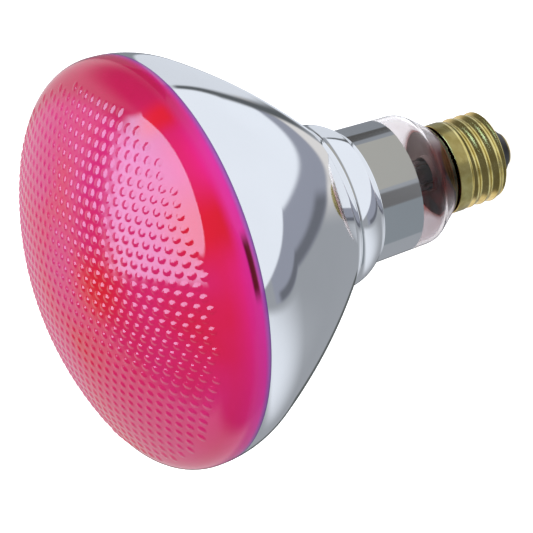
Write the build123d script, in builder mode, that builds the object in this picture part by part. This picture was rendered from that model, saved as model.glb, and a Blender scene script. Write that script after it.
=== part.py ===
from build123d import *
import math
import os

# Reflector flood lamp with a screw base, in millimetres.
# The lamp's axis is Z, the tip of its centre contact is the origin and the lens is at the top.

# Screw base, from the contact upwards
SOLDER_DIA = 5.2
SOLDER_RISE = 0.9
SOLDER_FLAT_DIA = 2.4
CONTACT_DIA = 9.8
CONTACT_THICK = 0.6
CONTACT_EDGE = 0.2
CONTACT_MARGIN = 0.2
INSULATOR_CONE = 4.7
INSULATOR_WALL = 2.2
INSULATOR_BORE = 2.6
INSULATOR_RISE = 1.6
SEAT_FIT = 0.05
LIP_DIA = 20.8
END_TAPER = 1.2
THREAD_DIA = 26.2
THREAD_PITCH = 25.4 / 7
THREAD_DEPTH = 0.75
THREAD_TURNS = 3
SKIRT_STEP = 0.7
SKIRT_LENGTH = 4.1
SKIRT_MARGIN = 0.1
SHELL_SHEET = 0.3

# Glass envelope, from its sealed tail upwards
GLASS_WALL = 1.0
TAIL_CLEARANCE = 0.6
SHOULDER_HEIGHT = 8.8
SHOULDER_FOOT_BEND = 0.8
SHOULDER_TOP_BEND = 6.0
NECK_DIA = 38.2
NECK_LENGTH = 21.3
NECK_TOP_DIA = 39.7
KNUCKLE_HEIGHT = 10.3
KNUCKLE_DIA = 48.8
KNUCKLE_BULGE = 1.2
REFLECTOR_HEIGHT = 55.4
FLARE_RADIUS = 33.5
FLARE_ANGLE = 31.5
BULB_DIA = 120.65
RIM_RADIUS = 12.3
DOME_RADIUS = 98.4

# Bumps of the lens, in rows that are set off by half a step
BUMP_PITCH = 3.6
BUMP_DIA = 2.7
BUMP_RISE = 0.6
BUMP_SINK = 0.25
BUMP_SIDES = 6
FIELD_MARGIN = 0.1

# Cement between the shell and the glass
CEMENT_GAP = 0.4
CEMENT_RECESS = 0.8

# Glass stem
SEAL_FIT = 0.05
STEM_WALL = 0.9
STEM_DIA = 9.2
SEAL_RISE = 0.5
STEM_TUBE_LENGTH = 7.0
PRESS_WIDTH = 11.0
PRESS_THICK = 3.6
PRESS_CORNER = 1.2
PRESS_BLEND = 5.0
PRESS_HEIGHT = 6.0
EXHAUST_DIA = 4.0
EXHAUST_BORE = 2.6
EXHAUST_LENGTH = 18.0
BUTTON_ROD_DIA = 3.0
BUTTON_ROD_LENGTH = 16.0
BUTTON_DIA = 4.8

# Heat shield round the stem
SHIELD_LIFT = 2.2
SHIELD_THICK = 0.3
SHIELD_COLLAR = 2.0
SHIELD_FIT = 0.15
SHIELD_BORE_FIT = 0.2

# Filament mount
FILAMENT_DIA = 0.9
FILAMENT_SPAN = 18.0
FILAMENT_HEIGHT = 37.0
LEAD_DIA = 0.8
LEAD_SPACING = 8.0
LEAD_RISE = 5.0
LEAD_SPLAY = 22.0
LEAD_BEND = 3.0
SUPPORT_DIA = 0.4
SUPPORT_ANGLES = (-135, -90, -45)
SUPPORT_FIT = 0.1

# Wires below the press
OUTER_LEAD_DIA = 0.5
OUTER_LEAD_SPACING = 5.7
OUTER_LEAD_BEND = 1.5
CENTRE_LEAD_BEND_LOW = 9.0
CENTRE_LEAD_BEND_HIGH = 13.0
WIRE_FIT = 0.05

os.makedirs("parts", exist_ok=True)

# Heights and radii that several pieces share
thread_r = THREAD_DIA / 2
root_r = thread_r - THREAD_DEPTH
flank_r = thread_r - THREAD_DEPTH / 2
skirt_r = thread_r + SKIRT_MARGIN
lip_r = LIP_DIA / 2
contact_top_z = SOLDER_RISE + CONTACT_THICK
lip_z = contact_top_z + INSULATOR_CONE
thread_z = lip_z + END_TAPER
step_z = thread_z + THREAD_TURNS * THREAD_PITCH
skirt_z = step_z + SKIRT_STEP
shell_rim_z = skirt_z + SKIRT_LENGTH

tail_r = skirt_r - SHELL_SHEET - CEMENT_GAP
tail_z = skirt_z + TAIL_CLEARANCE
neck_r = NECK_DIA / 2
neck_top_r = NECK_TOP_DIA / 2
knuckle_r = KNUCKLE_DIA / 2
bulb_r = BULB_DIA / 2
neck_z = shell_rim_z + SHOULDER_HEIGHT
neck_top_z = neck_z + NECK_LENGTH
knuckle_z = neck_top_z + KNUCKLE_HEIGHT
rim_z = knuckle_z + REFLECTOR_HEIGHT

stem_r = STEM_DIA / 2
flare_r = tail_r - GLASS_WALL - SEAL_FIT
flare_z = tail_z + SEAL_RISE
flare_bend_r = flare_r - stem_r
flare_top_z = flare_z + flare_bend_r
press_foot_z = flare_top_z + STEM_TUBE_LENGTH
press_z = press_foot_z + PRESS_BLEND
press_top_z = press_z + PRESS_HEIGHT
button_z = press_top_z + BUTTON_ROD_LENGTH
filament_z = press_top_z + FILAMENT_HEIGHT

# The lens: a rounded rim that runs into a dome centred on the axis
dome_z = rim_z - math.sqrt((DOME_RADIUS - RIM_RADIUS) ** 2 - (bulb_r - RIM_RADIUS) ** 2)
dome_edge_r = DOME_RADIUS * (bulb_r - RIM_RADIUS) / (DOME_RADIUS - RIM_RADIUS)
rim_roll = math.degrees(math.acos(dome_edge_r / DOME_RADIUS))


def round_wire(name, points, bends, diameter):
    """A round wire along straight runs with rounded bends, written to its own file."""
    with BuildPart() as wire:
        with BuildLine() as route:
            if bends:
                FilletPolyline(*points, radius=bends)
            else:
                Line(*points)
        with BuildSketch(Plane(origin=route.line @ 0, z_dir=route.line % 0)):
            Circle(diameter / 2)
        sweep()
    wire.part.label = name
    export_step(wire.part, f"parts/{name}.step")


# Bump: a low faceted point, and its places on the dome
bump_r = BUMP_DIA / 2
with BuildPart() as bump:
    foot_angles = [2 * math.pi * side / BUMP_SIDES for side in range(BUMP_SIDES)]
    foot = [(bump_r * math.cos(angle), bump_r * math.sin(angle), -BUMP_SINK) for angle in foot_angles]
    ConvexPolyhedron([*foot, (0, 0, BUMP_RISE)])

field_r = dome_edge_r - bump_r - FIELD_MARGIN
row_step = BUMP_PITCH * math.sqrt(3) / 2
row_count = int(field_r / row_step)
bump_places = []
for row in range(-row_count, row_count + 1):
    row_y = row * row_step
    row_half = math.sqrt(field_r**2 - row_y**2)
    row_shift = BUMP_PITCH / 2 * (row % 2)
    first = math.ceil((-row_half - row_shift) / BUMP_PITCH)
    last = math.floor((row_half - row_shift) / BUMP_PITCH)
    for spot in range(first, last + 1):
        x = spot * BUMP_PITCH + row_shift
        rise = math.sqrt(DOME_RADIUS**2 - x**2 - row_y**2)
        seat = Plane(origin=(x, row_y, dome_z + rise), x_dir=(rise, 0, -x), z_dir=(x, row_y, rise))
        bump_places.append(seat.location)

# Envelope: one blown wall from the lens to the sealed tail, with the bumps on its dome
with BuildPart() as envelope:
    with BuildSketch(Plane.XZ):
        with BuildLine():
            flare = JernArc((bulb_r, rim_z), (0, -1), FLARE_RADIUS, -FLARE_ANGLE)
            TangentArc(flare @ 1, (knuckle_r, knuckle_z), tangent=flare % 1)
            SagittaArc((knuckle_r, knuckle_z), (neck_top_r, neck_top_z), KNUCKLE_BULGE)
            FilletPolyline(
                (neck_top_r, neck_top_z),
                (neck_r, neck_z),
                (tail_r, shell_rim_z),
                (tail_r, tail_z),
                radius=(SHOULDER_TOP_BEND, SHOULDER_FOOT_BEND),
            )
            rim = JernArc((bulb_r, rim_z), (0, 1), RIM_RADIUS, rim_roll)
            JernArc(rim @ 1, rim % 1, DOME_RADIUS, 90 - rim_roll)
            offset(amount=GLASS_WALL, side=Side.RIGHT, closed=True)
        make_face()
    revolve(axis=Axis.Z)
    with Locations(*bump_places):
        add(bump.part, clean=False)
envelope.part.label = "envelope"
export_step(envelope.part, "parts/envelope.step")

# Screw shell: sheet rolled to a round wave of crests and roots, below a plain skirt
half_pitch = THREAD_PITCH / 2
with BuildPart() as base_shell:
    with BuildSketch(Plane.XZ):
        with BuildLine():
            Line((lip_r, lip_z), (flank_r, thread_z))
            for turn in range(THREAD_TURNS):
                crest_z = thread_z + turn * THREAD_PITCH
                root_z = crest_z + half_pitch
                next_z = crest_z + THREAD_PITCH
                ThreePointArc((flank_r, crest_z), (thread_r, crest_z + half_pitch / 2), (flank_r, root_z))
                ThreePointArc((flank_r, root_z), (root_r, root_z + half_pitch / 2), (flank_r, next_z))
            Polyline((flank_r, step_z), (skirt_r, skirt_z), (skirt_r, shell_rim_z))
            offset(amount=SHELL_SHEET, side=Side.LEFT, closed=True)
        make_face()
    revolve(axis=Axis.Z)
base_shell.part.label = "base_shell"
export_step(base_shell.part, "parts/base_shell.step")

# Insulator: a glass cup that is locked in the tapered end of the shell
taper_angle = math.atan2(END_TAPER, flank_r - lip_r)
seat_gap = SHELL_SHEET + SEAT_FIT
seat_r = lip_r - seat_gap * math.sin(taper_angle)
seat_z = lip_z + seat_gap * math.cos(taper_angle)
cup_r = root_r - seat_gap
cup_z = seat_z + (cup_r - seat_r) * math.tan(taper_angle)
with BuildPart() as base_insulator:
    with BuildSketch(Plane.XZ):
        with BuildLine():
            Polyline(
                (CONTACT_DIA / 2 + CONTACT_MARGIN, contact_top_z),
                (seat_r, seat_z),
                (cup_r, cup_z),
                (cup_r, cup_z + INSULATOR_RISE),
                (cup_r - INSULATOR_WALL, cup_z + INSULATOR_RISE),
                (INSULATOR_BORE / 2, contact_top_z + INSULATOR_WALL),
                (INSULATOR_BORE / 2, contact_top_z),
                close=True,
            )
        make_face()
    revolve(axis=Axis.Z)
base_insulator.part.label = "base_insulator"
export_step(base_insulator.part, "parts/base_insulator.step")

# Centre contact: an eyelet disc under the insulator, with the wire's hole
with BuildPart() as centre_contact:
    with BuildSketch(Plane.XY.offset(SOLDER_RISE)):
        Circle(CONTACT_DIA / 2)
        Circle(OUTER_LEAD_DIA / 2 + WIRE_FIT, mode=Mode.SUBTRACT)
    extrude(amount=CONTACT_THICK)
    contact_rim = centre_contact.edges().group_by(Axis.Z)[0].sort_by(SortBy.RADIUS)[-1]
    fillet(contact_rim, radius=CONTACT_EDGE)
centre_contact.part.label = "centre_contact"
export_step(centre_contact.part, "parts/centre_contact.step")

# Solder: a shallow drop on the contact, with a flat tip
with BuildPart() as contact_solder:
    with BuildSketch(Plane.XZ):
        with BuildLine():
            tip = Line((0, 0), (SOLDER_FLAT_DIA / 2, 0))
            TangentArc(tip @ 1, (SOLDER_DIA / 2, SOLDER_RISE), tangent=tip % 1)
            Polyline((SOLDER_DIA / 2, SOLDER_RISE), (0, SOLDER_RISE), tip @ 0)
        make_face()
    revolve(axis=Axis.Z)
contact_solder.part.label = "contact_solder"
export_step(contact_solder.part, "parts/contact_solder.step")

# Cement: a ring between the skirt and the tail of the glass
with BuildPart() as base_cement:
    with BuildSketch(Plane.XY.offset(tail_z)):
        Circle(skirt_r - SHELL_SHEET)
        Circle(tail_r, mode=Mode.SUBTRACT)
    extrude(amount=shell_rim_z - CEMENT_RECESS - tail_z)
base_cement.part.label = "base_cement"
export_step(base_cement.part, "parts/base_cement.step")

# Stem: a flared tube that ends in the flat press, with its exhaust tube and button rod
with BuildPart() as stem:
    with BuildSketch(Plane.XZ):
        with BuildLine():
            tube = Line((stem_r, press_foot_z), (stem_r, flare_top_z))
            JernArc(tube @ 1, tube % 1, flare_bend_r, 90)
            offset(amount=STEM_WALL, side=Side.RIGHT, closed=True)
        make_face()
    revolve(axis=Axis.Z)
    with BuildSketch(Plane.XY.offset(press_foot_z)):
        Circle(stem_r)
    with BuildSketch(Plane.XY.offset(press_z)) as press:
        RectangleRounded(PRESS_WIDTH, PRESS_THICK, PRESS_CORNER)
    loft()
    extrude(press.sketch, amount=PRESS_HEIGHT)
    with BuildSketch(Plane.XY.offset(press_top_z)):
        Circle(BUTTON_ROD_DIA / 2)
    extrude(amount=BUTTON_ROD_LENGTH)
    with Locations((0, 0, button_z)):
        Sphere(BUTTON_DIA / 2)
    with BuildSketch(Plane.XZ):
        with BuildLine():
            exhaust_end_z = press_foot_z - EXHAUST_LENGTH
            bore = Line((EXHAUST_BORE / 2, exhaust_end_z), (EXHAUST_BORE / 2, press_foot_z))
            top = Line(bore @ 1, (EXHAUST_DIA / 2, press_foot_z))
            side = Line(top @ 1, (EXHAUST_DIA / 2, exhaust_end_z))
            TangentArc(side @ 1, (0, exhaust_end_z - EXHAUST_DIA / 2), tangent=side % 1)
            Line((0, exhaust_end_z - EXHAUST_DIA / 2), (0, exhaust_end_z - EXHAUST_BORE / 2))
            TangentArc(bore @ 0, (0, exhaust_end_z - EXHAUST_BORE / 2), tangent=(0, -1))
        make_face()
    revolve(axis=Axis.Z)
stem.part.label = "stem"
export_step(stem.part, "parts/stem.step")

# Heat shield: a disc inside the clear shoulder, with a collar round the stem
shoulder_angle = math.atan2(neck_r - tail_r, SHOULDER_HEIGHT)
shield_z = shell_rim_z + SHIELD_LIFT
shoulder_r = tail_r + SHIELD_LIFT * math.tan(shoulder_angle) - GLASS_WALL / math.cos(shoulder_angle)
shield_drop = max(flare_top_z - shield_z, 0)
shield_bore_r = flare_r - math.sqrt(flare_bend_r**2 - shield_drop**2) + SHIELD_BORE_FIT
with BuildPart() as heat_shield:
    with BuildSketch(Plane.XY.offset(shield_z)):
        Circle(shoulder_r - SHIELD_FIT)
        Circle(shield_bore_r, mode=Mode.SUBTRACT)
    extrude(amount=SHIELD_THICK)
    with BuildSketch(Plane.XY.offset(shield_z + SHIELD_THICK)):
        Circle(shield_bore_r + SHIELD_THICK)
        Circle(shield_bore_r, mode=Mode.SUBTRACT)
    extrude(amount=SHIELD_COLLAR)
heat_shield.part.label = "heat_shield"
export_step(heat_shield.part, "parts/heat_shield.step")

# Filament: a half ring of fine coil, kept as one round rod of the coil's diameter
ring_r = FILAMENT_SPAN / 2
with BuildPart() as filament:
    with BuildLine():
        CenterArc((0, 0, filament_z), ring_r, 180, 180)
    with BuildSketch(Plane((-ring_r, 0, filament_z), z_dir=(0, -1, 0))):
        Circle(FILAMENT_DIA / 2)
    sweep()
filament.part.label = "filament"
export_step(filament.part, "parts/filament.step")

# Leads from the press to the ends of the filament
for letter, side_sign in (("a", -1), ("b", 1)):
    foot_x = side_sign * LEAD_SPACING / 2
    head_x = side_sign * ring_r
    round_wire(
        f"inner_lead_{letter}",
        (
            (foot_x, 0, press_top_z),
            (foot_x, 0, press_top_z + LEAD_RISE),
            (head_x, 0, press_top_z + LEAD_RISE + LEAD_SPLAY),
            (head_x, 0, filament_z - FILAMENT_DIA / 2),
        ),
        LEAD_BEND,
        LEAD_DIA,
    )

# Supports from the button to the filament
for number, angle in enumerate(SUPPORT_ANGLES, start=1):
    button = Vector(0, 0, button_z)
    hold = Vector(
        ring_r * math.cos(math.radians(angle)),
        ring_r * math.sin(math.radians(angle)),
        filament_z,
    )
    along = (hold - button).normalized()
    round_wire(
        f"support_wire_{number}",
        (
            button + along * (BUTTON_DIA / 2 + WIRE_FIT),
            hold - along * (FILAMENT_DIA / 2 + SUPPORT_FIT),
        ),
        None,
        SUPPORT_DIA,
    )

# Leads from the press to the centre contact and to the shell
outer_x = OUTER_LEAD_SPACING / 2
round_wire(
    "centre_lead",
    (
        (-outer_x, 0, press_foot_z),
        (-outer_x, 0, CENTRE_LEAD_BEND_HIGH),
        (0, 0, CENTRE_LEAD_BEND_LOW),
        (0, 0, SOLDER_RISE),
    ),
    OUTER_LEAD_BEND,
    OUTER_LEAD_DIA,
)
side_lead_z = step_z - half_pitch / 2
round_wire(
    "side_lead",
    (
        (outer_x, 0, press_foot_z),
        (outer_x, 0, side_lead_z),
        (root_r - SHELL_SHEET - WIRE_FIT, 0, side_lead_z),
    ),
    OUTER_LEAD_BEND,
    OUTER_LEAD_DIA,
)
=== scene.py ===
import math

import bmesh
import bpy
from mathutils import Matrix, Vector
from mathutils.geometry import delaunay_2d_cdt


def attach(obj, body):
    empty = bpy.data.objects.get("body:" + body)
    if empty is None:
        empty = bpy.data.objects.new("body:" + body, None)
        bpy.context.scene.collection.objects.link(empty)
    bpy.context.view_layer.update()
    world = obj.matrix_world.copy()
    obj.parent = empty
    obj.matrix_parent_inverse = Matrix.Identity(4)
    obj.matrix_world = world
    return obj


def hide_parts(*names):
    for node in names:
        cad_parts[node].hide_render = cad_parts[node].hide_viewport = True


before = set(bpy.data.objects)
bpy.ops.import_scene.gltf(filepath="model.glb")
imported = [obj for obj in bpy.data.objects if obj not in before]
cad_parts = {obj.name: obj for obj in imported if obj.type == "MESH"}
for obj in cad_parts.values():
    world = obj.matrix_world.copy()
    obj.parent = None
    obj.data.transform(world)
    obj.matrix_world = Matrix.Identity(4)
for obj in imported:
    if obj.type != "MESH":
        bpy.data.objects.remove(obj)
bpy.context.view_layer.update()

MM = 0.001
FULL_TURN = 2 * math.pi

# Sizes of the glass, in millimetres, as in the CAD
WALL = 1.0
BULB_R = 60.30
RIM_Z = 118.886
RIM_BEND = 12.3
DOME_R = 98.4
DOME_Z = RIM_Z - math.sqrt((DOME_R - RIM_BEND) ** 2 - (BULB_R - RIM_BEND) ** 2)
FLARE_BEND = 33.5
FLARE_TURN = math.radians(31.5)
KNUCKLE = (24.4, 63.486)
KNUCKLE_SAG = 1.2
NECK_TOP = (19.85, 53.186)
NECK_END = (19.1, 31.886)
SHOULDER_BEND = 6.0
TAIL_TOP = (12.5, 23.086)
TAIL_END = (12.5, 19.586)
TAIL_BEND = 0.8

# Distance of the extra rings that keep the creases of the glass sharp
CREASE = 0.3

# Where the coatings end on the glass
PINK_Z = 115.1
SILVER_Z = 39.6
PINK, SILVER, CLEAR, INSIDE = range(4)

# Bumps on the lens: rings of points as (share of the radius, number of points)
BUMP_PITCH = 3.6
BUMP_R = 1.3
BUMP_RISE = 0.32
BUMP_RINGS = ((0.35, 6), (0.6, 12), (0.8, 12), (0.93, 12), (1.03, 12), (1.13, 12))
TURNED_FROM = 0.8
FIELD_R = 54.9
LENS_EDGE_R = 58.6
LENS_RING_STEP = 0.55
LENS_EDGE_GAP = 0.3
BUMP_CLEARANCE = BUMP_R * 1.12 + 0.45
LATTICE_ALONG, LATTICE_ACROSS = 40, 20

# Screw shell
THREAD_R = 13.1
THREAD_PITCH = 25.4 / 7
THREAD_DEPTH = 0.75
THREAD_Z = 7.4
THREAD_TURNS = 3
THREAD_START = 0.182
THREAD_LEAD, THREAD_RUN_IN, THREAD_RUN_OUT = 0.9, 1.4, 1.2
LIP_R, LIP_Z = 10.4, 6.2
SKIRT_R, SKIRT_Z, SHELL_RIM_Z = 13.2, 18.986, 23.086
SHEET = 0.3

# Number of steps round the axis and along each run of the outline
TURN_STEPS = 160
RIM_STEPS, FLARE_STEPS, BOWL_STEPS, KNUCKLE_STEPS = 16, 24, 36, 14
NECK_STEPS, CLEAR_STEPS, SHOULDER_STEPS, CONE_STEPS, FOOT_STEPS = 8, 5, 12, 6, 5
INNER_DOME_STEPS = 16
SHELL_STEPS = 90

# Directions: the picture's up is near +X, and the camera looks along +Y
UP = (0, 0, 1)
PICTURE_UP, PICTURE_DOWN = (1, 0, 0), (-1, 0, 0)
AWAY = (0, 1, 0)

# Camera fitted to the photograph, in metres
CAMERA_LENS, CAMERA_SENSOR = 524.95, 36
CAMERA_PLACE = (-0.15457, -1.97326, 1.05085)
CAMERA_RIGHT = (-0.33882, -0.39377, -0.85448)
CAMERA_BACK = (-0.06512, -0.89621, 0.43883)
CAMERA_CLIP = (0.01, 50)

# Light, in metres and as the brightness of a surface
EVEN_LIGHT = (0.55, 0.55, 0.55, 1)
WHITE = (1, 1, 1, 1)
PANEL_PLACE, PANEL_TARGET = (0.45, -0.60, 1.05), (0, 0, 0.12)
PANEL_SIZE, PANEL_LIGHT, PANEL_COLOUR = (0.8, 0.8), 4.0, (0.92, 0.97, 1.1)
FLOOR_HALF, FLOOR_GLOW = 6, 0.9


def arc_points(centre, radius, start, stop, steps):
    """Points on a circle from one angle to another, both ends included."""
    return [
        (
            centre[0] + radius * math.cos(start + (stop - start) * i / steps),
            centre[1] + radius * math.sin(start + (stop - start) * i / steps),
        )
        for i in range(steps + 1)
    ]


def arc_through(start, middle, stop, steps):
    """Points on the circle through three points, from the first to the last."""
    (ax, ay), (bx, by), (cx, cy) = start, middle, stop
    a2, b2, c2 = ax**2 + ay**2, bx**2 + by**2, cx**2 + cy**2
    d = 2 * (ax * (by - cy) + bx * (cy - ay) + cx * (ay - by))
    ux = (a2 * (by - cy) + b2 * (cy - ay) + c2 * (ay - by)) / d
    uy = (a2 * (cx - bx) + b2 * (ax - cx) + c2 * (bx - ax)) / d
    radius = math.hypot(ax - ux, ay - uy)
    first = math.atan2(ay - uy, ax - ux)
    mid = math.atan2(by - uy, bx - ux)
    last = math.atan2(cy - uy, cx - ux)
    turn = (last - first) % FULL_TURN
    if (mid - first) % FULL_TURN > turn:
        turn -= FULL_TURN
    return arc_points((ux, uy), radius, first, first + turn, steps)


def tangent_arc(start, direction, stop, steps):
    """Points on the circle that leaves start along direction and reaches stop."""
    s, e, d = Vector(start), Vector(stop), Vector(direction).normalized()
    side = Vector((-d.y, d.x))
    chord = e - s
    radius = chord.length_squared / (2 * side.dot(chord))
    centre = s + side * radius
    first = math.atan2(s.y - centre.y, s.x - centre.x)
    last = math.atan2(e.y - centre.y, e.x - centre.x)
    turn = (last - first + math.pi) % FULL_TURN - math.pi
    return arc_points(centre, abs(radius), first, first + turn, steps)


def rounded_corner(before, corner, after, radius, steps):
    """Points of the arc that rounds a corner between two straight runs."""
    c = Vector(corner)
    a = (Vector(before) - c).normalized()
    b = (Vector(after) - c).normalized()
    half = a.angle(b) / 2
    reach = radius / math.tan(half)
    centre = c + (a + b).normalized() * (radius / math.sin(half))
    mid = centre + (c - centre).normalized() * radius
    return arc_through(tuple(c + a * reach), tuple(mid), tuple(c + b * reach), steps)


def straight(start, stop, steps):
    """Points along a straight run, without its ends."""
    return [
        (start[0] + (stop[0] - start[0]) * i / steps, start[1] + (stop[1] - start[1]) * i / steps)
        for i in range(1, steps)
    ]


def tight_ends(points):
    """The same run with one more point close to each end, so that the shading turns only there."""
    ends = []
    for end, beside in ((points[0], points[1]), (points[-1], points[-2])):
        step = Vector(beside) - Vector(end)
        ends.append(tuple(Vector(end) + step.normalized() * CREASE))
    return [points[0], ends[0], *points[1:-1], ends[1], points[-1]]


def knuckle_middle():
    """Middle of the knuckle ring's outline, which bulges out between its two creases."""
    run = (Vector(NECK_TOP) - Vector(KNUCKLE)).normalized()
    return (
        (KNUCKLE[0] + NECK_TOP[0]) / 2 - run.y * KNUCKLE_SAG,
        (KNUCKLE[1] + NECK_TOP[1]) / 2 + run.x * KNUCKLE_SAG,
    )


def neck_outline():
    """Outline of the silvered neck, from the knuckle to the end of the mirror."""
    fall = (NECK_TOP[1] - SILVER_Z) / (NECK_TOP[1] - NECK_END[1])
    silver_end = (NECK_TOP[0] + (NECK_END[0] - NECK_TOP[0]) * fall, SILVER_Z)
    return [NECK_TOP, *straight(NECK_TOP, silver_end, NECK_STEPS), silver_end]


def glass_outline():
    """Outside of the glass from the lens edge to the tail, as (radius, height) points."""
    rim_centre = (BULB_R - RIM_BEND, RIM_Z)
    lens_angle = math.acos((LENS_EDGE_R - rim_centre[0]) / RIM_BEND)
    points = arc_points(rim_centre, RIM_BEND, lens_angle, 0, RIM_STEPS)
    flare = arc_points((BULB_R - FLARE_BEND, RIM_Z), FLARE_BEND, 0, -FLARE_TURN, FLARE_STEPS)
    points += flare[1:]
    leaving = (-math.sin(FLARE_TURN), -math.cos(FLARE_TURN))
    points += tight_ends(tangent_arc(flare[-1], leaving, KNUCKLE, BOWL_STEPS))[1:]
    points += tight_ends(arc_through(KNUCKLE, knuckle_middle(), NECK_TOP, KNUCKLE_STEPS))[1:]
    points += tight_ends(neck_outline())[1:]
    shoulder = rounded_corner(NECK_TOP, NECK_END, TAIL_TOP, SHOULDER_BEND, SHOULDER_STEPS)
    foot = rounded_corner(NECK_END, TAIL_TOP, TAIL_END, TAIL_BEND, FOOT_STEPS)
    points += straight(points[-1], shoulder[0], CLEAR_STEPS) + shoulder
    points += straight(shoulder[-1], foot[0], CONE_STEPS) + foot
    return points + [TAIL_END]


def inner_outline(outline):
    """The same outline, moved in by the glass wall."""
    moved = []
    for i, point in enumerate(outline):
        before = Vector(outline[max(i - 1, 0)])
        after = Vector(outline[min(i + 1, len(outline) - 1)])
        run = (after - before).normalized()
        moved.append((point[0] + run.y * WALL, point[1] - run.x * WALL))
    return moved


def lens_height(x, y):
    """Height of the smooth lens above a point of its plan, on the dome or on the rounded rim."""
    r = math.hypot(x, y)
    join = (BULB_R - RIM_BEND) * DOME_R / (DOME_R - RIM_BEND)
    if r < join:
        return DOME_Z + math.sqrt(DOME_R**2 - r * r)
    return RIM_Z + math.sqrt(RIM_BEND**2 - (r - BULB_R + RIM_BEND) ** 2)


def plan_point(radius, angle):
    """A point of the lens's plan."""
    return Vector((math.cos(angle), math.sin(angle))) * radius


def bump_centres():
    """Plan of the bumps: a lattice of equal triangles, cut off at the edge of the field."""
    along = Vector((BUMP_PITCH, 0))
    across = Matrix.Rotation(math.radians(60), 2) @ along
    centres = []
    for i in range(-LATTICE_ALONG, LATTICE_ALONG + 1):
        for j in range(-LATTICE_ACROSS, LATTICE_ACROSS + 1):
            spot = along * i + across * j
            if spot.length < FIELD_R:
                centres.append(spot)
    return centres


def bump_points(centre):
    """Points of one bump, as (place in the plan, height above the lens)."""
    points = [(centre.copy(), BUMP_RISE)]
    for share, count in BUMP_RINGS:
        shift = 0.5 * (share > TURNED_FROM)
        for k in range(count):
            angle = FULL_TURN * (k + shift) / count
            rise = BUMP_RISE * max(1 - share**2, 0)
            points.append((centre + plan_point(BUMP_R * share, angle), rise))
    return points


def lens_points():
    """Points of the lens: its bumps, rings between them and the edge, and the edge itself."""
    centres = bump_centres()
    points = [point for centre in centres for point in bump_points(centre)]
    radius = FIELD_R - BUMP_PITCH
    while radius < LENS_EDGE_R - LENS_EDGE_GAP:
        for k in range(TURN_STEPS * 2):
            spot = plan_point(radius, FULL_TURN * k / (TURN_STEPS * 2))
            near = (c for c in centres if abs(c.x - spot.x) < BUMP_PITCH)
            if all((spot - c).length_squared > BUMP_CLEARANCE**2 for c in near):
                points.append((spot, 0))
        radius += LENS_RING_STEP
    edge_start = len(points)
    for k in range(TURN_STEPS):
        points.append((plan_point(LENS_EDGE_R, FULL_TURN * k / TURN_STEPS), 0))
    return points, edge_start


def add_ring(bm, radius, z):
    """A ring of points round the axis."""
    return [
        bm.verts.new((
            radius * MM * math.cos(FULL_TURN * k / TURN_STEPS),
            radius * MM * math.sin(FULL_TURN * k / TURN_STEPS),
            z * MM,
        ))
        for k in range(TURN_STEPS)
    ]


def join_rings(bm, upper, lower, slot, outwards=True):
    """Faces between two rings."""
    for k in range(TURN_STEPS):
        n = (k + 1) % TURN_STEPS
        corners = (lower[k], lower[n], upper[n], upper[k])
        face = bm.faces.new(corners if outwards else corners[::-1])
        face.material_index = slot
        face.smooth = True


def coat_slot(z):
    """Material of the outside of the glass at a height."""
    if z > PINK_Z:
        return PINK
    return SILVER if z > SILVER_Z else CLEAR


def inside_slot(z):
    """Material of the inside of the glass at a height."""
    return CLEAR if coat_slot(z) == CLEAR else INSIDE


def make_lens(bm):
    """Outside of the lens with its bumps; returns the ring of points at its edge."""
    points, edge_start = lens_points()
    plan = [place for place, _ in points]
    places, _, triangles, origins, _, _ = delaunay_2d_cdt(plan, [], [], 0, 1e-5)
    kept = []
    edge = [None] * TURN_STEPS
    for place, origin in zip(places, origins):
        first = origin[0]
        up = Vector((place.x, place.y, math.sqrt(DOME_R**2 - place.length_squared))).normalized()
        spot = Vector((place.x, place.y, lens_height(place.x, place.y))) + up * points[first][1]
        kept.append(bm.verts.new(spot * MM))
        if first >= edge_start:
            edge[first - edge_start] = kept[-1]
    for corners in triangles:
        a, b, c = (kept[i] for i in corners)
        face = bm.faces.new((a, b, c))
        face.smooth = True
        if (b.co - a.co).cross(c.co - a.co).z < 0:
            face.normal_flip()
    return edge


def close_inner_dome(bm, ring, radius_at_edge):
    """Smooth inside of the lens, from the ring at its edge up to the axis."""
    inner_r = DOME_R - WALL
    edge_angle = math.asin(radius_at_edge / inner_r)
    for step in range(INNER_DOME_STEPS - 1, 0, -1):
        angle = edge_angle * step / INNER_DOME_STEPS
        upper = add_ring(bm, inner_r * math.sin(angle), DOME_Z + inner_r * math.cos(angle))
        join_rings(bm, upper, ring, INSIDE, outwards=False)
        ring = upper
    top = bm.verts.new((0, 0, (DOME_Z + inner_r) * MM))
    for k in range(TURN_STEPS):
        face = bm.faces.new((ring[(k + 1) % TURN_STEPS], ring[k], top))
        face.material_index = INSIDE
        face.smooth = True


def make_envelope(materials):
    """The blown glass: bumpy lens, bowl, neck and shoulder outside, smooth wall inside."""
    bm = bmesh.new()
    outline = glass_outline()
    ring = make_lens(bm)
    for (_, z0), (r1, z1) in zip(outline, outline[1:]):
        lower = add_ring(bm, r1, z1)
        join_rings(bm, ring, lower, coat_slot((z0 + z1) / 2))
        ring = lower
    inside = inner_outline(outline[:-1:2] + outline[-1:])[::-1]
    inside_ring = add_ring(bm, *inside[0])
    join_rings(bm, ring, inside_ring, CLEAR)
    for (_, z0), (r1, z1) in zip(inside, inside[1:]):
        upper = add_ring(bm, r1, z1)
        join_rings(bm, upper, inside_ring, inside_slot((z0 + z1) / 2), outwards=False)
        inside_ring = upper
    close_inner_dome(bm, inside_ring, inside[-1][0])
    finish_mesh(bm, "bulb", materials, "envelope")


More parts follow.
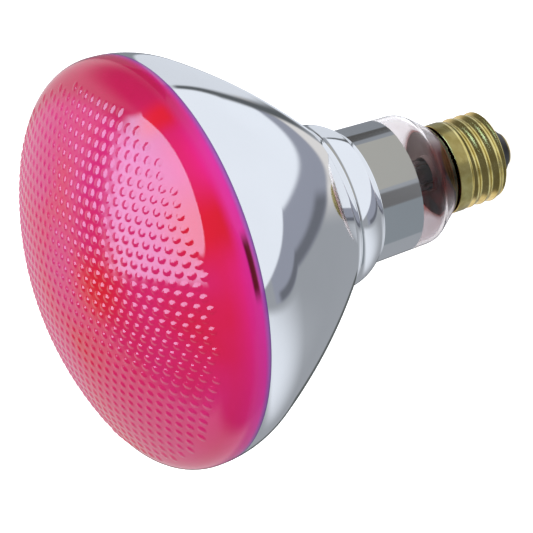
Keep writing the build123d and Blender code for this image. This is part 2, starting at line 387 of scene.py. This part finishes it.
def finish_mesh(bm, name, materials, node):
    """Turns a bmesh into a piece that stands for a CAD node."""
    mesh = bpy.data.meshes.new(name)
    bm.to_mesh(mesh)
    bm.free()
    piece = bpy.data.objects.new(name, mesh)
    bpy.context.collection.objects.link(piece)
    for material in materials:
        mesh.materials.append(material)
    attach(piece, "root")
    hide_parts(node)


def shell_radius(z, angle):
    """Outside radius of the screw shell: tapered end, rolled thread and plain skirt."""
    flank = THREAD_R - THREAD_DEPTH / 2
    thread_end = THREAD_Z + THREAD_TURNS * THREAD_PITCH
    if z <= THREAD_Z:
        base = LIP_R + (flank - LIP_R) * (z - LIP_Z) / (THREAD_Z - LIP_Z)
    elif z >= SKIRT_Z:
        return SKIRT_R
    elif z >= thread_end:
        base = flank + (SKIRT_R - flank) * (z - thread_end) / (SKIRT_Z - thread_end)
    else:
        base = flank
    phase = (z - THREAD_Z) / THREAD_PITCH + THREAD_START - angle / FULL_TURN
    run_in = min(max((z - THREAD_Z + THREAD_LEAD) / THREAD_RUN_IN, 0), 1)
    run_out = min(max((SKIRT_Z - z) / THREAD_RUN_OUT, 0), 1)
    return base + THREAD_DEPTH / 2 * math.sin(FULL_TURN * phase) * run_in * run_out


def shell_ring(bm, z, inset):
    """A ring of points on the screw shell, moved in by an inset."""
    ring = []
    for k in range(TURN_STEPS):
        angle = FULL_TURN * k / TURN_STEPS
        r = shell_radius(z, angle) - inset
        ring.append(bm.verts.new((r * MM * math.cos(angle), r * MM * math.sin(angle), z * MM)))
    return ring


def make_shell(material):
    """The brass shell, with a true helical thread rolled into its sheet."""
    bm = bmesh.new()
    rise = (SHELL_RIM_Z - LIP_Z) / SHELL_STEPS
    heights = [LIP_Z + rise * i for i in range(SHELL_STEPS + 1)]
    outer = [shell_ring(bm, z, 0) for z in heights]
    inner = [shell_ring(bm, z, SHEET) for z in heights]
    for lower, upper in zip(outer, outer[1:]):
        join_rings(bm, upper, lower, 0)
    for lower, upper in zip(inner, inner[1:]):
        join_rings(bm, upper, lower, 0, outwards=False)
    join_rings(bm, inner[-1], outer[-1], 0)
    join_rings(bm, outer[0], inner[0], 0)
    finish_mesh(bm, "screw_shell", [material], "base_shell")


def new_material(name):
    """A node material with a Principled shader; returns the material, its nodes, links and shader."""
    material = bpy.data.materials.new(name)
    material.use_nodes = True
    nodes, links = material.node_tree.nodes, material.node_tree.links
    return material, nodes, links, nodes["Principled BSDF"]


def set_inputs(shader, **values):
    """Sets sockets of a shader; an underscore in a name stands for a space."""
    for name, value in values.items():
        shader.inputs[name.replace("_", " ")].default_value = value


def ramp(nodes, links, source, stops):
    """A colour ramp fed by a socket, with (place, colour) stops."""
    node = nodes.new("ShaderNodeValToRGB")
    while len(node.color_ramp.elements) < len(stops):
        node.color_ramp.elements.new(1.0)
    for element, (place, colour) in zip(node.color_ramp.elements, stops):
        element.position = place
        element.color = (*colour, 1)
    links.new(source, node.inputs["Fac"])
    return node.outputs["Color"]


def object_place(nodes):
    """Place of a point on the lamp, in metres."""
    return nodes.new("ShaderNodeTexCoord").outputs["Object"]


def noise(nodes, links, size, detail):
    """A noise pattern on the lamp, with a size of its repeat in millimetres."""
    node = nodes.new("ShaderNodeTexNoise")
    node.inputs["Scale"].default_value = 1 / (size * MM)
    node.inputs["Detail"].default_value = detail
    links.new(object_place(nodes), node.inputs["Vector"])
    return node.outputs["Fac"]


def add_bump(nodes, links, shader, height, strength, distance):
    """Small relief on a surface, with its depth in millimetres."""
    node = nodes.new("ShaderNodeBump")
    node.inputs["Strength"].default_value = strength
    node.inputs["Distance"].default_value = distance * MM
    links.new(height, node.inputs["Height"])
    links.new(node.outputs["Normal"], shader.inputs["Normal"])


def share_between(nodes, links, source, low, high):
    """A socket's value, from 0 at low to 1 at high."""
    node = nodes.new("ShaderNodeMapRange")
    node.inputs["From Min"].default_value = low
    node.inputs["From Max"].default_value = high
    links.new(source, node.inputs["Value"])
    return node.outputs["Result"]


def along_axis(nodes, links, place, axis):
    """One of a place's or direction's three values."""
    split = nodes.new("ShaderNodeSeparateXYZ")
    links.new(place, split.inputs["Vector"])
    return split.outputs[axis]


def axis_share(nodes, links, axis, low, high):
    """Place along an axis of the lamp, from 0 at low to 1 at high, both in millimetres."""
    along = along_axis(nodes, links, object_place(nodes), axis)
    return share_between(nodes, links, along, low * MM, high * MM)


def mix_colours(nodes, links, factor, first, second):
    """One colour over another by a factor between 0 and 1."""
    node = nodes.new("ShaderNodeMix")
    node.data_type = "RGBA"
    links.new(factor, node.inputs["Factor"])
    links.new(first, node.inputs["A"])
    links.new(second, node.inputs["B"])
    return node.outputs["Result"]


def past(axis, low, soft):
    """Limit that holds from a value along an axis onwards."""
    return axis, low, None, soft


def upto(axis, high, soft):
    """Limit that holds up to a value along an axis."""
    return axis, None, high, soft


def within(axis, low, high, soft):
    """Limit that holds between two values along an axis."""
    return axis, low, high, soft


def in_metres(limits):
    """Limits that were given in millimetres."""
    return [
        (axis, *(None if value is None else value * MM for value in values))
        for axis, *values in limits
    ]


def both(nodes, links, first, second):
    """Product of two masks; the first may be missing."""
    if first is None:
        return second
    node = nodes.new("ShaderNodeMath")
    node.operation = "MULTIPLY"
    links.new(first, node.inputs[0])
    links.new(second, node.inputs[1])
    return node.outputs["Value"]


def limit_mask(nodes, links, place, limit):
    """1 where a place or direction keeps to a limit along an axis, with soft ends."""
    axis, low, high, soft = limit
    along = nodes.new("ShaderNodeVectorMath")
    along.operation = "DOT_PRODUCT"
    along.inputs[1].default_value = axis
    links.new(place, along.inputs[0])
    cover = None
    for end, side in ((low, 1), (high, -1)):
        if end is None:
            continue
        edge = nodes.new("ShaderNodeMapRange")
        edge.interpolation_type = "SMOOTHSTEP"
        edge.inputs["From Min"].default_value = end - side * soft
        edge.inputs["From Max"].default_value = end + side * soft
        links.new(along.outputs["Value"], edge.inputs["Value"])
        cover = both(nodes, links, cover, edge.outputs["Result"])
    return cover


def lay_patch(nodes, links, under, place, limits, colour):
    """Lays a patch of a colour over another one, where all limits hold."""
    cover = None
    for limit in limits:
        cover = both(nodes, links, cover, limit_mask(nodes, links, place, limit))
    node = nodes.new("ShaderNodeMix")
    node.data_type = "RGBA"
    links.new(cover, node.inputs["Factor"])
    links.new(under, node.inputs["A"])
    node.inputs["B"].default_value = (*colour, 1)
    return node.outputs["Result"]


def lens_field(nodes, links):
    """Colour of the bumpy field: the same clouds, redder on the low side."""
    clouds = noise(nodes, links, size=34, detail=2)
    red_side = ramp(nodes, links, clouds, (
        (0.30, (0.73, 0.012, 0.045)),
        (0.45, (0.73, 0.015, 0.115)),
        (0.66, (0.73, 0.021, 0.175)),
    ))
    pink_side = ramp(nodes, links, clouds, (
        (0.30, (0.73, 0.020, 0.120)),
        (0.45, (0.72, 0.025, 0.190)),
        (0.66, (0.72, 0.030, 0.230)),
    ))
    upwards = axis_share(nodes, links, "X", low=-20, high=25)
    return mix_colours(nodes, links, upwards, red_side, pink_side)


def lens_rim(nodes, links):
    """Colour of the smooth rim: a violet edge, then magenta to red."""
    inwards = axis_share(nodes, links, "Z", low=PINK_Z, high=PINK_Z + 15)
    return ramp(nodes, links, inwards, (
        (0.00, (0.14, 0.05, 0.26)),
        (0.05, (0.42, 0.06, 0.42)),
        (0.13, (0.82, 0.024, 0.36)),
        (0.45, (0.86, 0.018, 0.21)),
        (0.72, (0.82, 0.015, 0.13)),
        (1.00, (0.74, 0.016, 0.15)),
    ))


def painted_red_reflection(x, y, half):
    """Limits of a patch of painted reflection, red light seen within the lens, in millimetres."""
    soft = half * 0.8
    return (
        within(PICTURE_UP, x - half, x + half, soft),
        within(AWAY, y - half, y + half, soft),
        past(UP, 120.5, soft=2),
    )


def lens_painted_light():
    """Painted light on the coating, in millimetres: painted shade at the top, patches of painted red
    reflection and a dark streak of painted shade.
    """
    # painted shade: the rim is darker on its +X side
    painted_shade_top = (past(PICTURE_UP, 30, soft=14), within(UP, 116.5, 131, soft=2))
    # painted reflection: red patches where red light within the lens shows
    clouds = (painted_red_reflection(-4, -16, half=9), painted_red_reflection(0, -58, half=9), painted_red_reflection(34, -49, half=4))
    # painted shade: a dark streak near the rim, where the dark inside of the lamp shows through the
    # lens
    streak = (
        within(PICTURE_UP, -22.5, -6, soft=3),
        upto(AWAY, -40, soft=3),
        within(UP, 116.6, 118.4, soft=0.4),
    )
    return (
        (painted_shade_top, (0.57, 0.010, 0.085)),
        *((cloud, (0.76, 0.012, 0.035)) for cloud in clouds),
        (streak, (0.13, 0.001, 0.014)),
    )


def pink_glass():
    """Pink coating on the lens: red and pink clouds, a magenta rim and a violet edge, with painted
    shade and painted red reflection laid over them.
    """
    material, nodes, links, shader = new_material("pink_lens")
    inwards = axis_share(nodes, links, "Z", low=PINK_Z + 6, high=PINK_Z + 15)
    colour = mix_colours(nodes, links, inwards, lens_rim(nodes, links), lens_field(nodes, links))
    place = object_place(nodes)
    # lays the painted shade and painted red reflection over the coating's colour
    for limits, tone in lens_painted_light():
        colour = lay_patch(nodes, links, colour, place, in_metres(limits), tone)
    links.new(colour, shader.inputs["Base Color"])
    set_inputs(shader, Roughness=0.35, Specular_IOR_Level=0.0)
    set_inputs(shader, Coat_Weight=1.0, Coat_IOR=1.6, Coat_Roughness=0.03)
    return material


def silver_coat(name, colour):
    """Vapour-coated mirror behind glass."""
    material, nodes, links, shader = new_material(name)
    worn = tuple(c * 0.96 for c in colour)
    pattern = noise(nodes, links, size=30, detail=3)
    tint = ramp(nodes, links, pattern, ((0.3, worn), (0.7, colour)))
    links.new(tint, shader.inputs["Base Color"])
    set_inputs(shader, Metallic=1.0, Roughness=0.05)
    waves = noise(nodes, links, size=22, detail=1)
    add_bump(nodes, links, shader, waves, strength=0.08, distance=0.4)
    return material


def base_ring_and_painted_shade():
    """Patches on the clear glass, in millimetres: a dark red-brown ring at the brass, and painted
    shade on one side where the inside of the base shows through.
    """
    ring = (upto(UP, 25.4, soft=0.8),)
    # painted shade, red-brown, across X from -9.5 to 6.5 mm, where the inside of the base shows
    # through
    shade = (within(PICTURE_UP, -9.5, 6.5, soft=3), upto(UP, 32.8, soft=1.5))
    return (ring, (0.12, 0.02, 0.015)), (shade, (0.30, 0.065, 0.05))


def clear_glass(name, dark_at_base=False):
    """Clear blown glass with painted shade, darker towards the -X side; the kind dark at the base also
    has a dark red-brown ring at the brass and, on one side, red-brown painted shade where the inside
    of the base shows through.
    """
    material, nodes, links, shader = new_material(name)
    lit_glass_tone = ramp(nodes, links, noise(nodes, links, size=20, detail=2), (
        (0.3, (0.72, 0.70, 0.71)),
        (0.7, (0.80, 0.78, 0.79)),
    ))
    dark = ramp(nodes, links, noise(nodes, links, size=12, detail=2), (
        (0.3, (0.52, 0.48, 0.50)),
        (0.7, (0.60, 0.56, 0.58)),
    ))
    # painted shade: the glass tint darkens towards the -X side
    downwards = axis_share(nodes, links, "X", low=16, high=-14)
    tint = mix_colours(nodes, links, downwards, lit_glass_tone, dark)
    if dark_at_base:
        # lays the dark ring at the brass and the painted shade beside the base
        place = object_place(nodes)
        for limits, tone in base_ring_and_painted_shade():
            tint = lay_patch(nodes, links, tint, place, in_metres(limits), tone)
    links.new(tint, shader.inputs["Base Color"])
    set_inputs(shader, Transmission_Weight=1.0, Roughness=0.0, IOR=1.32)
    return material


def metal(name, dark, light, roughness, grain, relief=0.05):
    """Drawn or rolled metal with a faint grain, its size in millimetres."""
    material, nodes, links, shader = new_material(name)
    pattern = noise(nodes, links, grain, detail=4)
    links.new(ramp(nodes, links, pattern, ((0.3, dark), (0.7, light))), shader.inputs["Base Color"])
    set_inputs(shader, Metallic=1.0, Roughness=roughness)
    add_bump(nodes, links, shader, pattern, relief, distance=0.1)
    return material


def dull(name, dark, light, roughness, grain, relief=0.2, gloss=0.5):
    """Non-metal surface with a grain, its size in millimetres."""
    material, nodes, links, shader = new_material(name)
    pattern = noise(nodes, links, grain, detail=5)
    links.new(ramp(nodes, links, pattern, ((0.3, dark), (0.7, light))), shader.inputs["Base Color"])
    set_inputs(shader, Roughness=roughness, Specular_IOR_Level=gloss)
    add_bump(nodes, links, shader, pattern, relief, distance=0.1)
    return material


def shield_with_painted_light():
    """Disc with painted light and shade: grey on its lit side, dark red-brown on its low side, which
    only red light through the pink lens reaches.
    """
    material, nodes, links, shader = new_material("heat_shield")
    grain = noise(nodes, links, size=6, detail=3)
    grey = ramp(nodes, links, grain, ((0.3, (0.55, 0.42, 0.39)), (0.7, (0.75, 0.60, 0.56))))
    brown = ramp(nodes, links, grain, ((0.35, (0.03, 0.001, 0.001)), (0.65, (0.26, 0.010, 0.005))))
    # painted light and shade: grey on the lit +X side, dark red-brown towards -X
    downwards = axis_share(nodes, links, "X", low=4, high=-3)
    links.new(mix_colours(nodes, links, downwards, grey, brown), shader.inputs["Base Color"])
    set_inputs(shader, Roughness=0.3, Specular_IOR_Level=0.08)
    add_bump(nodes, links, shader, grain, strength=0.1, distance=0.1)
    return material


def black_glass():
    """Black glass end of the base."""
    return dull("black_glass", dark=(0.004, 0.004, 0.006), light=(0.010, 0.010, 0.014),
                roughness=0.35, grain=3, relief=0.1, gloss=0.15)


def contact_brass():
    """Pressed brass of the centre contact."""
    return metal("contact_brass", dark=(0.6, 0.46, 0.2), light=(0.78, 0.64, 0.34),
                 roughness=0.3, grain=2)


def shell_brass():
    """Bright rolled brass of the screw shell."""
    return metal("rolled_brass", dark=(0.72, 0.57, 0.18), light=(0.97, 0.84, 0.36),
                 roughness=0.22, grain=4)


def solder():
    """Dull drop of solder."""
    return metal("solder", dark=(0.45, 0.45, 0.46), light=(0.66, 0.66, 0.67),
                 roughness=0.42, grain=1.2, relief=0.3)


def cement():
    """Brown cement between the shell and the glass."""
    return dull("cement", dark=(0.10, 0.05, 0.05), light=(0.22, 0.13, 0.11), roughness=0.8, grain=1.0)


def tungsten():
    """Rough grey tungsten of the filament."""
    return metal("tungsten", dark=(0.2, 0.2, 0.21), light=(0.38, 0.38, 0.4),
                 roughness=0.5, grain=0.4, relief=0.4)


def nickel_wire():
    """Drawn nickel of the inner wires."""
    return metal("nickel_wire", dark=(0.45, 0.44, 0.42), light=(0.62, 0.6, 0.57),
                 roughness=0.35, grain=1.5)


def copper_wire():
    """Drawn copper of the outer leads."""
    return metal("copper_wire", dark=(0.55, 0.3, 0.2), light=(0.72, 0.45, 0.3),
                 roughness=0.35, grain=1.5)


def dress_nodes():
    """Materials for the CAD pieces that keep their own mesh."""
    looks = (
        (nickel_wire(), ("inner_lead_a", "inner_lead_b", "support_wire_1", "support_wire_2",
                         "support_wire_3")),
        (copper_wire(), ("centre_lead", "side_lead")),
        (black_glass(), ("base_insulator",)),
        (contact_brass(), ("centre_contact",)),
        (solder(), ("contact_solder",)),
        (cement(), ("base_cement",)),
        (clear_glass("stem_glass"), ("stem",)),
        (shield_with_painted_light(), ("heat_shield",)),
        (tungsten(), ("filament",)),
    )
    for material, names in looks:
        for name in names:
            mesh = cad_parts[name].data
            mesh.materials.clear()
            mesh.materials.append(material)


def seen_directly(nodes, links):
    """1 for rays from the camera and for rays that came through glass."""
    path = nodes.new("ShaderNodeLightPath")
    seen = nodes.new("ShaderNodeMath")
    seen.operation = "MAXIMUM"
    links.new(path.outputs["Is Camera Ray"], seen.inputs[0])
    links.new(path.outputs["Is Transmission Ray"], seen.inputs[1])
    return seen.outputs["Value"]


def floor_paper():
    """Plain pale paper, which glows a little where it is seen directly."""
    material, nodes, links, shader = new_material("floor_paper")
    pattern = noise(nodes, links, size=300, detail=2)
    tint = ramp(nodes, links, pattern, ((0.3, (0.9, 0.9, 0.9)), (0.7, (0.93, 0.93, 0.93))))
    links.new(tint, shader.inputs["Base Color"])
    glow = nodes.new("ShaderNodeMath")
    glow.operation = "MULTIPLY"
    glow.inputs[1].default_value = FLOOR_GLOW
    links.new(seen_directly(nodes, links), glow.inputs[0])
    set_inputs(shader, Roughness=0.9, Emission_Color=WHITE)
    links.new(glow.outputs["Value"], shader.inputs["Emission Strength"])
    return material


def make_floor():
    """Plain pale floor under the lamp."""
    bm = bmesh.new()
    bmesh.ops.create_grid(bm, x_segments=2, y_segments=2, size=FLOOR_HALF)
    mesh = bpy.data.meshes.new("floor")
    bm.to_mesh(mesh)
    bm.free()
    floor = bpy.data.objects.new("floor", mesh)
    bpy.context.collection.objects.link(floor)
    mesh.materials.append(floor_paper())
    floor.visible_glossy = False


def add_panel(name, centre, target, size, radiance):
    """A soft box: an area light of an even brightness, aimed at a point."""
    data = bpy.data.lights.new(name, "AREA")
    data.shape = "RECTANGLE"
    data.size, data.size_y = size
    data.energy = radiance * math.pi * size[0] * size[1]
    data.color = PANEL_COLOUR
    lamp = bpy.data.objects.new(name, data)
    bpy.context.collection.objects.link(lamp)
    lamp.location = centre
    lamp.rotation_mode = "QUATERNION"
    lamp.rotation_quaternion = (Vector(target) - Vector(centre)).to_track_quat("-Z", "Y")
    lamp.visible_glossy = False


def cool(level):
    """A grey that is a little blue."""
    return (level * 0.94, level, level * 1.1)


def back_wall_patches():
    """Pale backdrop and wall behind the lamp, with a grey band and its dark side."""
    backdrop, band, edge = (0.342, 0.94, 0), (-0.596, 0.711, -0.371), (-0.564, 0.667, 0.486)
    grey = (0.29, 0.31, 0.38)
    return (
        ((past(backdrop, 0.15, 0.15), upto(PICTURE_UP, 0.8, 0.15), within(UP, -0.36, 0.64, 0.08)),
         (0.84, 0.77, 0.79)),
        ((past(PICTURE_UP, 0.02, 0.1), upto(UP, -0.70, 0.02)), (0.70, 0.69, 0.69)),
        ((upto(band, 0.5225, 0.012), past(PICTURE_UP, 0.05, 0.03), upto(UP, -0.74, 0.02)), grey),
        ((upto(edge, -0.30, 0.012), upto(UP, -0.74, 0.02)), grey),
        ((within(edge, -0.37, -0.30, 0.02), upto(PICTURE_UP, 0.08, 0.04), upto(UP, -0.80, 0.03)),
         (0.14, 0.15, 0.18)),
        # pale table on the low side
        ((past(PICTURE_DOWN, 0.53, 0.26), past(edge, -0.25, 0.05), upto(UP, -0.555, 0.04)), cool(0.8)),
    )


def screen_patches():
    """Bright screen, and the grey strip that the neck mirrors beside it."""
    screen, strip_side, strip_end = (0.79, -0.553, 0.263), (0.848, -0.53, 0), (0.515, -0.857, 0)
    return (
        ((past(screen, -0.222, 0.015), upto(UP, -0.56, 0.015)), cool(0.86)),
        ((upto(strip_side, 0, 0.02), past(strip_end, 0, 0.03), within(UP, -0.56, -0.37, 0.02)),
         cool(0.34)),
    )


def ceiling_patches():
    """Pale ceiling edge with a dark line and a dark spot."""
    backdrop, ceiling, spot = (0.342, 0.94, 0), (0.714, 0.671, -0.2), (0.0416, 0.475, -0.879)
    return (
        ((past(backdrop, 0.79, 0.02), within(UP, -0.72, -0.5, 0.02)), cool(0.8)),
        ((past(ceiling, 0.80, 0.01), within(UP, -0.78, -0.48, 0.01)), cool(0.72)),
        ((within(ceiling, 0.768, 0.798, 0.01), past(PICTURE_UP, 0.21, 0.04),
          within(UP, -0.80, -0.58, 0.04)), (0.10, 0.11, 0.12)),
        ((past(spot, 0.9935, 0.003),), (0.05, 0.045, 0.045)),
    )


def window_patches():
    """Frame of the window that the neck mirrors."""
    return (
        ((past((0.695, 0.719, 0), 0.50, 0.02), within(UP, -0.5, -0.37, 0.008)), (0.24, 0.26, 0.29)),
        ((past((0.62, -0.78, 0), 0.60, 0.01), within(UP, -0.53, -0.37, 0.008)), (0.39, 0.39, 0.37)),
        ((past((0.974, 0.225, 0), 0.859, 0.004), within(UP, -0.5, -0.37, 0.008)), (0.09, 0.09, 0.09)),
        ((past((-0.469, -0.883, 0), 0.83, 0.008), within(UP, -0.53, -0.2, 0.02)), (0.14, 0.14, 0.145)),
        ((past((-0.966, -0.259, 0), 0.70, 0.02), within(UP, -0.53, -0.37, 0.01)), (0.23, 0.26, 0.29)),
        ((past((-0.5, 0.866, 0), 0.89, 0.01), within(UP, -0.52, -0.46, 0.01)), (0.16, 0.17, 0.18)),
    )


def door_patches():
    """Dark door straight behind the lamp, which draws a line along its low side."""
    behind, low_side = (0.065, 0.896, -0.439), (-0.903, -0.134, -0.408)
    return (((past(behind, 0.966, 0.006), past(low_side, 0.02, 0.02)), (0.10, 0.11, 0.11)),)


def soft_box_patches():
    """Soft box above the lens: a straight far side and a round near side."""
    across, along = (0.371, 0.928, 0), (0.928, -0.371, 0)
    far_corner, near_cap = (0.84, 0.542, 0), (0.438, -0.196, 0.877)
    light = (3.1, 4.9, 6.9)
    side = past(along, -0.165, 0.03)
    return (
        ((past(AWAY, -0.03, 0.02), upto(far_corner, 0.697, 0.03), side, upto(across, 0.55, 0.08),
          past(UP, 0, 0.02)), light),
        ((upto(AWAY, 0.02, 0.02), past(near_cap, 0.8686, 0.012), side), light),
    )


def mirrored_room(nodes, links):
    """What the shiny surfaces mirror: a dim room above, a big pale screen and grey walls below."""
    direction = nodes.new("ShaderNodeTexCoord").outputs["Generated"]
    height = along_axis(nodes, links, direction, "Z")
    upwards = share_between(nodes, links, height, low=-0.41, high=-0.14)
    colour = ramp(nodes, links, upwards, ((0, cool(0.34)), (1, (0.12, 0.12, 0.12))))
    patches = (
        *back_wall_patches(),
        *screen_patches(),
        *ceiling_patches(),
        *window_patches(),
        *door_patches(),
        *soft_box_patches(),
    )
    for limits, tone in patches:
        colour = lay_patch(nodes, links, colour, direction, limits, tone)
    return colour


def mix_shaders(nodes, links, factor, first, second):
    """One shader over another by a factor between 0 and 1."""
    node = nodes.new("ShaderNodeMixShader")
    links.new(factor, node.inputs["Fac"])
    links.new(first, node.inputs[1])
    links.new(second, node.inputs[2])
    return node.outputs["Shader"]


def make_world():
    """Even light for matt surfaces, the room for mirrored ones and white to the camera."""
    world = bpy.data.worlds.new("studio")
    bpy.context.scene.world = world
    world.use_nodes = True
    nodes, links = world.node_tree.nodes, world.node_tree.links
    even = nodes["Background"]
    even.inputs["Color"].default_value = EVEN_LIGHT
    room = nodes.new("ShaderNodeBackground")
    links.new(mirrored_room(nodes, links), room.inputs["Color"])
    white = nodes.new("ShaderNodeBackground")
    white.inputs["Color"].default_value = WHITE
    shiny_ray = nodes.new("ShaderNodeLightPath").outputs["Is Glossy Ray"]
    lit = mix_shaders(nodes, links, shiny_ray, even.outputs["Background"], room.outputs["Background"])
    seen = seen_directly(nodes, links)
    surface = mix_shaders(nodes, links, seen, lit, white.outputs["Background"])
    links.new(surface, nodes["World Output"].inputs["Surface"])


def make_camera():
    """Camera at the photograph's viewing angle, turned about its own axis as there."""
    data = bpy.data.cameras.new("camera")
    data.lens = CAMERA_LENS
    data.sensor_width = CAMERA_SENSOR
    data.clip_start, data.clip_end = CAMERA_CLIP
    camera = bpy.data.objects.new("camera", data)
    bpy.context.collection.objects.link(camera)
    back = Vector(CAMERA_BACK).normalized()
    up = back.cross(Vector(CAMERA_RIGHT).normalized()).normalized()
    right = up.cross(back)
    turn = Matrix((right, up, back)).transposed().to_4x4()
    camera.matrix_world = Matrix.Translation(CAMERA_PLACE) @ turn
    bpy.context.scene.camera = camera


make_envelope([
    pink_glass(),
    silver_coat("silvered_bowl", (0.96, 0.96, 0.96)),
    clear_glass("clear_bulb_glass", dark_at_base=True),
    silver_coat("inside_of_bowl", (0.8, 0.78, 0.76)),
])
make_shell(shell_brass())
dress_nodes()
make_floor()
make_world()
make_camera()
add_panel("front_panel", PANEL_PLACE, PANEL_TARGET, PANEL_SIZE, PANEL_LIGHT)
bpy.context.scene.view_settings.view_transform = "Standard"
